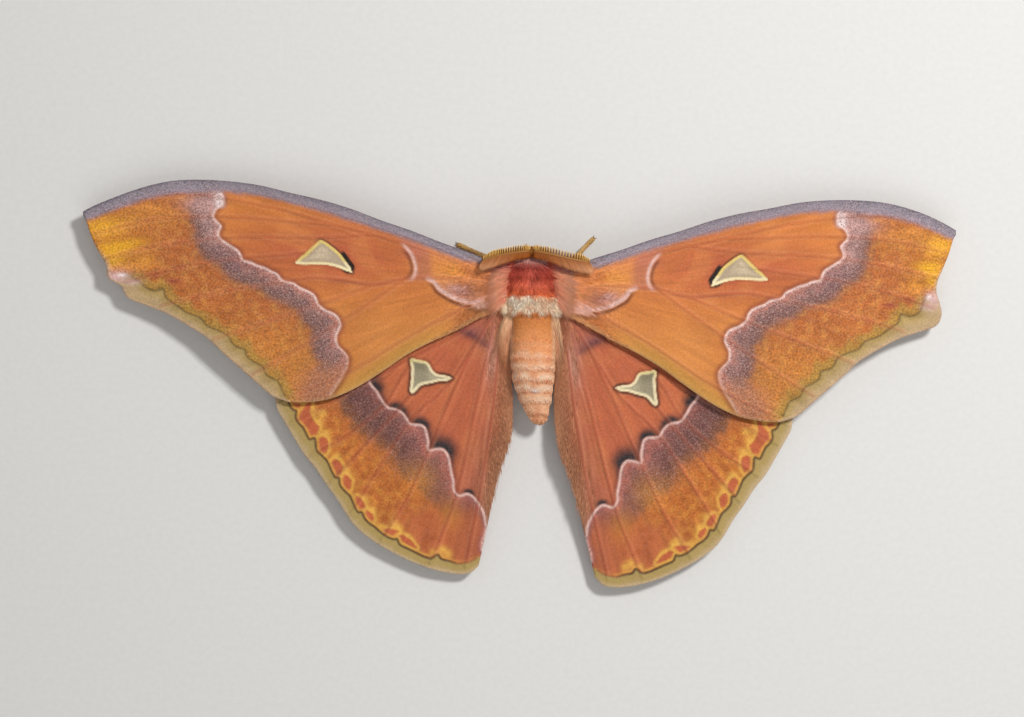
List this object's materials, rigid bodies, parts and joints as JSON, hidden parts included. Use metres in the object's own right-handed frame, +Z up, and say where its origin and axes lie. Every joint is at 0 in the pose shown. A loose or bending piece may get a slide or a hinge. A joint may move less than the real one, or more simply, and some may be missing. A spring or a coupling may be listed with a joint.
{
  "type": "atlas moth model",
  "caption": "Large moth at rest with spread, veined wings, feathery feelers and furred body, as a still life-size museum model.",
  "frame": {"origin": "centre of the model's outline seen from above, on the floor it rests on", "axes": "+X towards the right forewing tip, +Y towards the head, +Z up from the floor"},
  "size_m": [0.1762, 0.0794, 0.0141],
  "materials": {
    "wing": "soft scaled, matte",
    "fur": "furred, matte",
    "abdomen_fur": "furred, matte",
    "antenna": "horny, satin",
    "leg": "furred, matte",
    "eye": "glossy"
  },
  "bodies": {
    "root": {"thorax": "fur", "head": "fur", "abdomen": "abdomen_fur", "eye_left": "eye", "eye_right": "eye", "antenna_left": "antenna", "antenna_right": "antenna", "forewing_left": "wing", "forewing_right": "wing", "hindwing_left": "wing", "hindwing_right": "wing", "leg_fore_left": "leg", "leg_fore_right": "leg", "leg_mid_left": "leg", "leg_mid_right": "leg", "leg_hind_left": "leg", "leg_hind_right": "leg"}
  },
  "joints": []
}
